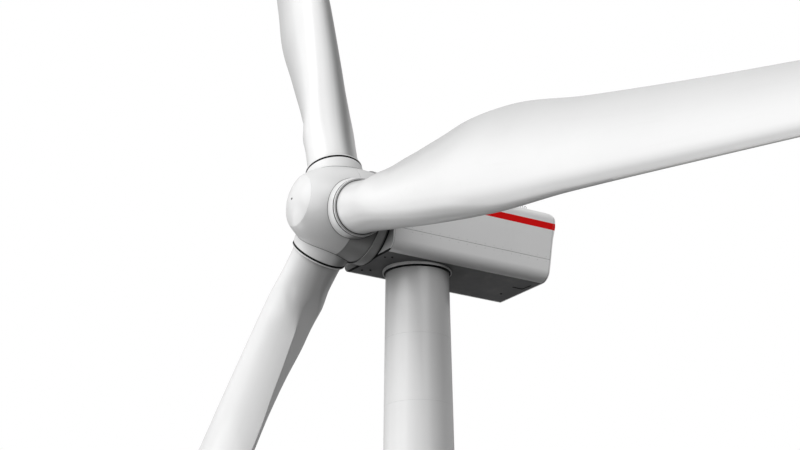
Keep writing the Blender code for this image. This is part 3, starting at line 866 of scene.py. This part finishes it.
def collar_shade_at(number, spot):
    """Painted shade on a collar's lower and downwind side, where the blade root hides it, at a spot in the
    blade's frame.
    """
    way = Vector((*spot.xy, 0)).normalized()
    drop = -(blade_frame(number).to_3x3() @ way).z
    return ease((COLLAR_SHADE_DOWN * drop + COLLAR_SHADE_BACK * way.y - COLLAR_SHADE_EDGE) / COLLAR_SHADE_RUN)


def tower_radius(height):
    return TOWER_TOP_RADIUS + TOWER_TAPER * (YAW_CENTRE.z - height)


def finish_node(name, finish):
    NODES[name].data.materials.clear()
    NODES[name].data.materials.append(finish)


def build_tower():
    """Rolled cans with a weld bead at each upper joint."""
    for number in CANS:
        node = f"tower_can_{number}"
        low, high = (corner.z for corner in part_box(node))
        outer_low, outer_high = tower_radius(low), tower_radius(high)
        profile = [(outer_high - CAN_WALL, high)]
        if number < CANS[-1]:
            profile += [(outer_high + WELD_HEIGHT, high), (outer_high + WELD_HEIGHT, high - WELD_WIDTH / 2)]
            profile += [(tower_radius(high - WELD_WIDTH), high - WELD_WIDTH)]
        else:
            profile += [(outer_high - EDGE_ROUND, high), (outer_high, high - EDGE_ROUND)]
        profile += [(outer_low, low), (outer_low - CAN_WALL, low)]
        can = turned(profile)
        # Painted shade at the top of the tower, under the nacelle, fading downwards
        stain_and_shade(can, lambda spot: TOWER_SHADE * max(0.0, 1 - (YAW_CENTRE.z - spot.z) / TOWER_SHADE_REACH))
        add_piece(f"tower_plate_{number}", can, Matrix.Identity(4), "tower", [TOWER_PAINT], [node])
    finish_node("flange_deck", TREAD_PLATE)
    finish_node("top_flange", ZINC_STEEL)


def build_flange():
    """Foot flange with its bolt holes, open underneath."""
    outer = tower_radius(0)
    inner = outer - FLANGE_WIDTH
    circle = (outer + inner) / 2
    rims = [(inner, 0), (circle - HOLE_RADIUS, 0), (circle + HOLE_RADIUS, 0), (outer - EDGE_ROUND, 0)]
    profile = [(inner, FLANGE_HEIGHT), (outer, FLANGE_HEIGHT), (outer, EDGE_ROUND)] + rims[::-1]
    bm = turned(profile, steps=4 * FLANGE_HOLES)
    step = math.tau / (4 * FLANGE_HOLES)
    mouths = []
    for face in bm.faces:
        centre = face.calc_center_median()
        place = round(math.atan2(centre.y, centre.x) / step - 0.5)
        if centre.z < 1e-6 and abs(centre.xy.length - circle) < HOLE_RADIUS / 2 and place % 4 == 0:
            mouths.append(face)
    bmesh.ops.inset_individual(bm, faces=mouths, thickness=HOLE_RIM)
    depth = FLANGE_HEIGHT * HOLE_DEPTH
    for face in bmesh.ops.extrude_discrete_faces(bm, faces=mouths)["faces"]:
        bmesh.ops.translate(bm, verts=face.verts, vec=(0, 0, depth))
    upright = []
    for edge in bm.edges:
        ends = sorted(vert.co.z for vert in edge.verts)
        if ends[0] < 1e-6 and abs(ends[1] - depth) < 1e-5:
            upright.append(edge)
    round_edges(bm, upright, HOLE_RADIUS * 0.7, 3)
    add_piece("flange_ring", bm, Matrix.Identity(4), "tower", [TOWER_PAINT], ["lower_flange"])


def build_yaw():
    matrix = housing_frame()
    collar = merged_copy("yaw_collar", matrix)
    soften(collar, YAW_RING_EDGE)
    add_piece("yaw_collar_ring", collar, matrix, "nacelle", [YAW_RING_LIT_PAINT], ["yaw_collar"])
    bolts = bolt_circle(YAW_BOLTS, YAW_BOLT_CIRCLE, *YAW_BOLT_HEAD, YAW_RING_LOW)
    add_piece("yaw_bolts", bolts, Matrix.Translation(YAW_CENTRE), "nacelle", [ZINC_STEEL])
    inner, outer = YAW_SEAL
    high = YAW_RING_LOW + GAP
    low = YAW_RING_LOW - YAW_SEAL_DEPTH
    seal = [(inner, high), (outer, high), (outer, low + GAP), (outer - GAP, low), (inner, low)]
    add_piece("yaw_seal", turned(seal), Matrix.Translation(YAW_CENTRE), "nacelle", [SEAL_BLACK])
    finish_node("yaw_bearing", SEAL_BLACK)


def paint_stripe(bm):
    """Cuts the side faces at the stripe's two edges and gives the band between them the second finish."""
    for height in (STRIPE_LOW, STRIPE_HIGH):
        cut_level(bm, height)
    for face in bm.faces:
        centre = face.calc_center_median()
        if STRIPE_LOW < centre.z < STRIPE_HIGH and abs(face.normal.x) > 0.9:
            face.material_index = 1


def paint_shaded_strip(bm):
    """Gives the front wall's lowest strip the second finish, black, as painted shade where the hub hides the
    wall's foot.
    """
    level = HOUSING_BOTTOM + FRONT_SHADE_HEIGHT
    cut_level(bm, level)
    for face in bm.faces:
        if face.calc_center_median().z < level:
            face.material_index = 1


def build_housing():
    """Rounded shells, each with its finishes and what is painted on it; the slot listed for each is not used.
    """
    matrix = housing_frame()
    for node, slot, finishes, paint in (
        ("upper_housing", "housing", [HOUSING_GRP, STRIPE_RED], paint_stripe),
        ("lower_housing", "housing", [HOUSING_GRP], None),
        ("rear_wall", "housing", [HOUSING_GRP, STRIPE_RED], paint_stripe),
        ("front_wall", "housing", [FRONT_GRP, SEAL_BLACK], paint_shaded_strip),
        ("underside_plate", "underside", [UNDERSIDE_GRP], None),
    ):
        bm = merged_copy(node, matrix)
        soften(bm, EDGE_ROUND)
        if paint:
            paint(bm)
        add_piece(node + "_shell", bm, matrix, "nacelle", finishes, [node])


def build_seam_screws():
    """Small pan heads above and below the seam between the two housing shells."""
    heads = []
    count = round((SCREW_SPAN[1] - SCREW_SPAN[0]) / SCREW_PITCH)
    for side in (1, -1):
        for level in (SEAM_HEIGHT - SCREW_OFFSET, SEAM_HEIGHT + SCREW_OFFSET):
            for index in range(count + 1):
                spot = (side * HOUSING_HALF_WIDTH, SCREW_SPAN[0] + index * SCREW_PITCH, level)
                turn = Matrix.Rotation(side * math.pi / 2, 4, "Y")
                heads.append(bolt(SCREW_RADIUS, SCREW_HEIGHT, Matrix.Translation(spot) @ turn, sides=10))
    add_piece("seam_screws", gather(heads), housing_frame(), "nacelle", [HOUSING_GRP])


def build_underside():
    """Drain plugs and the bent latch bar of the crane opening."""
    flip = Matrix.Rotation(math.pi, 4, "X")
    plugs = []
    for x, y in UNDERSIDE_PLUGS:
        seat = Matrix.Translation((x, y, HOUSING_BOTTOM)) @ flip
        plugs.append(bolt(PLUG_RADIUS, PLUG_HEIGHT, seat, sides=20))
        plugs.append(bolt(PLUG_RADIUS / 2, PLUG_NUT_HEIGHT, seat))
    add_piece("underside_plugs", gather(plugs), housing_frame(), "nacelle", [SEAL_BLACK])
    path = [Vector((x, y, HOUSING_BOTTOM - LATCH_SINK)) for x, y in LATCH_BENDS]
    latch = bead(path, LATCH_RADIUS, Vector((0, 0, 1)), closed=False)
    add_piece("underside_latch", latch, housing_frame(), "nacelle", [SEAL_BLACK])


def add_cover(name, opening, form, seat):
    """A pale plate over an opening of the housing."""
    wider, thickness, corner, edge = form
    cover = plate(opening[0] + wider, opening[1] + wider, thickness, corner, edge)
    add_piece(name, cover, seat, "nacelle", [HOUSING_GRP])


def hinge(form, seat):
    """A hinge leaf and its screws."""
    leaf, screw, places = form
    screws = [bolt(*screw, seat @ Matrix.Translation((x, y, 0))) for x, y in places]
    return [plate(*leaf, seat)] + screws


def build_roof():
    """Lifting strips and loops, rounded over, and the hatch in the roof's middle."""
    matrix = housing_frame()
    for side in (1, 2):
        node = f"lifting_strip_{side}"
        strip = merged_copy(node, matrix)
        soften(strip, STRIP_EDGE)
        add_piece(f"loop_strip_{side}", strip, matrix, "nacelle", [ZINC_STEEL], [node])
    for number in (1, 2, 3, 4):
        node = f"lifting_loop_{number}"
        loop = merged_copy(node, matrix)
        bmesh.ops.subdivide_edges(loop, edges=loop.edges, cuts=1, use_grid_fill=True, smooth=1.0)
        add_piece(f"roof_loop_{number}", loop, matrix, "nacelle", [ZINC_STEEL], [node], 60)
    seat = matrix @ Matrix.Translation((*HATCH_CENTRE, HOUSING_TOP))
    add_cover("hatch_coaming", HATCH_SIZE, HATCH_COAMING, seat)
    add_cover("hatch_lid", HATCH_SIZE, HATCH_LID, seat)
    end = HATCH_SIZE[1] / 2
    fittings = []
    for x in (-HATCH_HINGE_PLACE, HATCH_HINGE_PLACE):
        fittings += hinge(HATCH_HINGE, Matrix.Translation((x, end - HATCH_HINGE_INSET, HATCH_LID[1])))
    grip = [Vector((x, GRIP_INSET - end, height)) for x, height in GRIP_BENDS]
    fittings.append(bead(grip, GRIP_RADIUS, Vector((0, 1, 0)), closed=False))
    add_piece("hatch_fittings", gather(fittings), seat, "nacelle", [ZINC_STEEL])


def rear_seat(x, height):
    """A frame on the rear wall's lower run: X across, Y up the wall and Z outwards."""
    up = Vector((0, REAR_WAIST[0] - REAR_BOTTOM, REAR_WAIST[1] - HOUSING_BOTTOM)).normalized()
    foot = Vector((x, REAR_BOTTOM, HOUSING_BOTTOM)) + up * height
    across = Vector((-1, 0, 0))
    return housing_frame() @ basis(foot, across, up, across.cross(up))


def build_rear():
    """Service door and louvred vent side by side on the rear wall."""
    width, height = DOOR_SIZE
    door = rear_seat(-DOOR_PLACE, DOOR_HEIGHT)
    add_cover("rear_door_frame", DOOR_SIZE, DOOR_FRAME, door)
    add_cover("rear_door", DOOR_SIZE, DOOR_LEAF, door)
    face = DOOR_LEAF[1]
    fittings = []
    for level in (-DOOR_HINGE_LEVEL, DOOR_HINGE_LEVEL):
        fittings += hinge(DOOR_HINGE, Matrix.Translation((width / 2 - DOOR_HINGE_INSET, level, face)))
    lock = Matrix.Translation((LOCK_INSET - width / 2, 0, face))
    fittings += [plate(*LOCK_PLATE, lock), plate(*LOCK_HANDLE, lock)]
    add_piece("rear_door_fittings", gather(fittings), door, "nacelle", [ZINC_STEEL])
    vent = rear_seat(DOOR_PLACE, DOOR_HEIGHT)
    add_cover("vent_frame", DOOR_SIZE, VENT_FRAME, vent)
    across, rise = width - SLAT_MARGIN[0], height - SLAT_MARGIN[1]
    pitch = rise / SLATS
    tilt = Matrix.Rotation(SLAT_TILT, 4, "X")
    slats = []
    for index in range(SLATS):
        lift = Matrix.Translation((0, pitch * (index + 0.5) - rise / 2, SLAT_LIFT))
        slats.append(plate(across, pitch * SLAT_SHARE, *SLAT_FORM, lift @ tilt))
    add_piece("vent_slats", gather(slats), vent, "nacelle", [HOUSING_GRP])


def shoulder_radius(distance):
    share = max(0.0, (distance - BODY_SHOULDER) / BODY_REACH)
    return BODY_RADIUS * math.sqrt(1.0 - share ** 2)


def body_profile(steps=40):
    """The hub's body, with the open seam between its front and its rear shell."""
    points = [(BODY_BORE, DOME_CREASE - GAP)]
    for step in range(steps + 1):
        distance = DOME_CREASE - GAP + (SHELL_SEAM - DOME_CREASE + GAP) * step / steps
        points.append((shoulder_radius(distance), distance))
    groove = points[-1][0] - SEAM_DEPTH
    points += [(groove, SHELL_SEAM - SEAM_WIDTH / 4), (groove, SHELL_SEAM - SEAM_WIDTH)]
    for step in range(steps // 4 + 1):
        distance = SHELL_SEAM - SEAM_WIDTH + (BODY_SHOULDER - SHELL_SEAM + SEAM_WIDTH) * step / (steps // 4)
        points.append((shoulder_radius(distance), distance))
    return points + [(BODY_RADIUS, DRUM_FRONT), (BODY_BORE, DRUM_FRONT)]


def dome_profile(steps=20):
    height = NOSE - DOME_CREASE
    rim = shoulder_radius(DOME_CREASE)
    sphere = (rim ** 2 + height ** 2) / (2 * height)
    limit = math.asin(rim / sphere)
    points = []
    for step in range(steps + 1):
        angle = limit * step / steps
        points.append((sphere * math.sin(angle), NOSE - sphere + sphere * math.cos(angle)))
    return points + [(0, DOME_CREASE)]


def drum_profile():
    """The drum, with two close rows of points where its darker rear edge begins."""
    rim = DRUM_RADIUS - DRUM_RIM
    points = [(SHAFT_RADIUS, DRUM_FRONT)] + arc((rim, DRUM_FRONT - DRUM_RIM), DRUM_RIM, 90, 0)
    points += [(DRUM_RADIUS, DRUM_REAR + DRUM_EDGE * DRUM_EDGE_FADE[1]), (DRUM_RADIUS, DRUM_REAR + DRUM_EDGE)]
    points += arc((rim, DRUM_REAR + DRUM_RIM), DRUM_RIM, 0, -90)
    return points + [(SHAFT_RADIUS, DRUM_REAR)]


def underside_share(spot):
    """Share of painted shade round the rotor axis: all below, none above."""
    return ease(SIDE_DROP[0] - SIDE_DROP[1] * spot.y / spot.xy.length)


def rear_shell_shade(spot):
    """Painted shade on the hub's rear shell, thickest on its underside."""
    if spot.z > SHELL_SEAM:
        return 0.0
    return REAR_SHELL_SHADE * underside_share(spot)


def drum_shade(spot):
    """Painted shade on the drum's underside, and a darker rear edge for the shadow in the gap behind it."""
    if spot.z < DRUM_REAR + DRUM_EDGE * DRUM_EDGE_FADE[0]:
        return DRUM_EDGE_SHADE * underside_share(spot)
    drop = -spot.y / spot.xy.length
    return DRUM_SHADE * ease(DRUM_DROP[0] * drop - DRUM_DROP[1])


def build_hub():
    matrix = rotor_frame()
    add_piece("hub_dome", turned(dome_profile()), matrix, "rotor", [HUB_GELCOAT], ["cover_dome"], 40)
    body = turned(body_profile())
    # Painted shade on the rear shell, mostly on its underside
    stain_and_shade(body, rear_shell_shade)
    add_piece("hub_body", body, matrix, "rotor", [HUB_GELCOAT], ["cover_body"], 40)
    inner, outer = LABYRINTH
    reach = DRUM_REAR - LIP_GAP
    lip = turned([(inner, WALL_PLACE), (outer, WALL_PLACE), (outer, reach), (inner, reach)])
    add_piece("labyrinth_lip", lip, matrix, "nacelle", [SEAL_BLACK])
    drum = turned(drum_profile())
    # Painted shade on the drum's underside and at its rear edge
    stain_and_shade(drum, drum_shade)
    add_piece("hub_drum", drum, matrix, "rotor", [DRUM_SHADED_GELCOAT], ["cover_rear_drum"], 40)
    plug = [(0, NOSE + NOSE_PLUG_ROUND)]
    plug += arc((NOSE_PLUG_RADIUS - NOSE_PLUG_ROUND, NOSE), NOSE_PLUG_ROUND, 90, 0, 4)
    plug += [(NOSE_PLUG_RADIUS, NOSE - NOSE_PLUG_DEPTH), (0, NOSE - NOSE_PLUG_DEPTH)]
    add_piece("nose_plug", turned(plug, 24), matrix, "rotor", [SEAL_BLACK])
    bolts = bolt_circle(DRUM_BOLTS, DRUM_BOLT_CIRCLE, *DRUM_BOLT_HEAD, DRUM_REAR + DRUM_BOLT_SINK)
    add_piece("drum_bolts", bolts, matrix, "rotor", [ZINC_STEEL])
    finish_node("main_shaft", BRIGHT_STEEL)


def collar_foot(number, steps=96):
    """Where a collar's side meets the hub's body, in the blade's frame."""
    matrix = rotor_frame().inverted() @ blade_frame(number)
    path = []
    for step in range(steps):
        angle = math.tau * step / steps
        x, y = COLLAR_BASE_RADIUS * math.cos(angle), COLLAR_BASE_RADIUS * math.sin(angle)
        low, high = COLLAR_INNER, COLLAR_TOP
        for _ in range(24):
            middle = (low + high) / 2
            spot = matrix @ Vector((x, y, middle))
            if spot.xy.length > shoulder_radius(spot.z):
                high = middle
            else:
                low = middle
        path.append(Vector((x, y, low)))
    return path


def collar_profile(rim=0.004):
    foot = COLLAR_BASE_RADIUS
    points = [(ROOT_BORE, COLLAR_INNER), (foot, COLLAR_INNER), (foot, COLLAR_BASE)]
    points += arc((COLLAR_TOP_RADIUS - rim, COLLAR_TOP - rim), rim, 0, 90)
    return points + [(ROOT_BORE, COLLAR_TOP)]


def ring_profile():
    top = DRIP_RING_START + DRIP_RING_HEIGHT
    points = [(BLADE_ROOT_RADIUS, DRIP_RING_START)]
    lower, upper = DRIP_RING_ROUND
    points += arc((DRIP_RING_RADIUS - lower, DRIP_RING_START + lower), lower, -90, 0, 4)
    points += arc((DRIP_RING_RADIUS - upper, top - upper), upper, 0, 90, 4)
    return points + [(BLADE_ROOT_RADIUS, top)]


def build_blades():
    skin = blade_form()
    for number in BLADES:
        matrix = blade_frame(number)
        body = f"blade_{number}_body"
        collar = turned(collar_profile())
        # Painted shade under each collar, where the blade root hides it
        stain_and_shade(collar, lambda spot: collar_shade_at(number, spot))
        add_piece(f"collar_{number}", collar, matrix, "rotor", [COLLAR_GELCOAT],
                  [f"blade_collar_{number}"], 40)
        foot = bead(collar_foot(number), COLLAR_SEAL_RADIUS, Vector((0, 0, 1)))
        add_piece(f"collar_seal_{number}", foot, matrix, "rotor", [SEAL_BLACK], (), 60)
        gap = turned(((ROOT_BORE, DRIP_RING_START), (PITCH_SEAL_RADIUS, DRIP_RING_START),
                      (PITCH_SEAL_RADIUS, COLLAR_TOP), (ROOT_BORE, COLLAR_TOP)))
        add_piece(f"pitch_seal_{number}", gap, matrix, "rotor", [SEAL_BLACK],
                  [f"pitch_bearing_{number}"])
        add_piece(f"root_ring_{number}", turned(ring_profile()), matrix, body, [COLLAR_GELCOAT],
                  [f"drip_ring_{number}"], 40)
        out, up = ROOT_SEAL_SEAT
        seat = (BLADE_ROOT_RADIUS + out, DRIP_RING_START + DRIP_RING_HEIGHT + up)
        seal = turned(arc(seat, ROOT_SEAL_ROUND, 0, 315, 7), loop=True)
        add_piece(f"root_seal_{number}", seal, matrix, body, [SEAL_BLACK], (), 60)
        blade = skin.copy()
        layer = blade.verts.layers.float_vector["skin"]
        # Painted shade along the leading edge, kept as the skin attribute's third value
        dirt_and_shade, start, downwind_only = LEADING_SHADE[number]
        for vert in blade.verts:
            side = ease(0.5 + LEADING_SHADE_SIDE * vert.co.y) if downwind_only else 1.0
            vert[layer] = (*vert[layer].xy, dirt_and_shade * side * ease((vert.co.z - start) / LEADING_SHADE_RUN))
        add_piece(f"blade_skin_{number}", blade, matrix, body, [BLADE_PAINT],
                  [f"blade_{number}"], 50)
        add_piece(f"receptors_{number}", receptors(), matrix, body, [BRIGHT_STEEL])
    skin.free()


def receptors():
    """Lightning receptors: discs flush with both sides of the blade."""
    discs = []
    for distance, radius in RECEPTORS:
        downwind, upwind = curve_at(BLADE_STATIONS, distance)[2:4]
        height = downwind + upwind + 2 * RECEPTOR_PROUD
        foot = Vector((0, downwind + RECEPTOR_PROUD, distance))
        turn = basis(foot, Vector((1, 0, 0)), Vector((0, 0, 1)), Vector((0, -1, 0)))
        discs.append(bolt(radius, height, turn, sides=24))
    return gather(discs)


def add_camera():
    data = bpy.data.cameras.new("camera")
    data.lens = CAMERA_LENS
    data.sensor_width = CAMERA_SENSOR
    data.clip_end = CAMERA_REACH
    camera = place_in_scene("camera", data)
    turn = Matrix.Rotation(CAMERA_AZIMUTH, 4, "Z") @ Matrix.Rotation(math.pi / 2 - CAMERA_ELEVATION, 4, "X")
    camera.matrix_world = Matrix.Translation(CAMERA_PLACE) @ turn @ Matrix.Rotation(CAMERA_ROLL, 4, "Z")
    bpy.context.scene.camera = camera


def add_floor():
    bm = bmesh.new()
    bmesh.ops.create_circle(bm, cap_ends=True, radius=FLOOR_RADIUS, segments=96,
                            matrix=Matrix.Translation((0, 0, FLOOR_HEIGHT)))
    mesh = bpy.data.meshes.new("floor")
    bm.to_mesh(mesh)
    bm.free()
    mesh.materials.append(floor_finish())
    floor = place_in_scene("floor", mesh)
    floor.visible_diffuse = False
    floor.visible_glossy = False
    floor.visible_shadow = False


def add_sun(name, azimuth, elevation, strength, spread):
    """A soft light from a direction: azimuth as the camera's, elevation above the horizon."""
    data = bpy.data.lights.new(name, "SUN")
    data.energy = strength
    data.angle = math.radians(spread)
    sun = place_in_scene(name, data)
    turn = Matrix.Rotation(math.radians(azimuth), 4, "Z")
    sun.matrix_world = turn @ Matrix.Rotation(math.radians(90 - elevation), 4, "X")


def add_world():
    """White behind the object for the camera; for the light, a dim room with a paler wall at the rear."""
    world = bpy.data.worlds.new("studio")
    bpy.context.scene.world = world
    world.use_nodes = True
    tree = world.node_tree
    tree.nodes.clear()
    way = add_node(tree, "TexCoord")
    facing = add_node(tree, "VectorMath")
    facing.operation = "DOT_PRODUCT"
    facing.inputs[1].default_value = REAR_WALL_WAY
    join(way.outputs["Generated"], facing.inputs[0])
    strength = levels(facing.outputs["Value"], 0.0, 0.6, WORLD_FILL, REAR_FILL)
    fill = add_node(tree, "Background", Color=(1, 1, 1, 1), Strength=strength)
    white = add_node(tree, "Background", Color=(1, 1, 1, 1))
    path = add_node(tree, "LightPath")
    mix = add_node(tree, "MixShader")
    out = add_node(tree, "OutputWorld")
    join(path.outputs["Is Camera Ray"], mix.inputs[0])
    join(fill.outputs[0], mix.inputs[1])
    join(white.outputs[0], mix.inputs[2])
    join(mix.outputs[0], out.inputs[0])


build_tower()
build_flange()
build_yaw()
build_housing()
build_seam_screws()
build_underside()
build_roof()
build_rear()
build_hub()
build_blades()
add_camera()
add_floor()
add_world()
for lamp in LAMPS:
    add_sun(*lamp)
bpy.context.scene.view_settings.view_transform = "Standard"
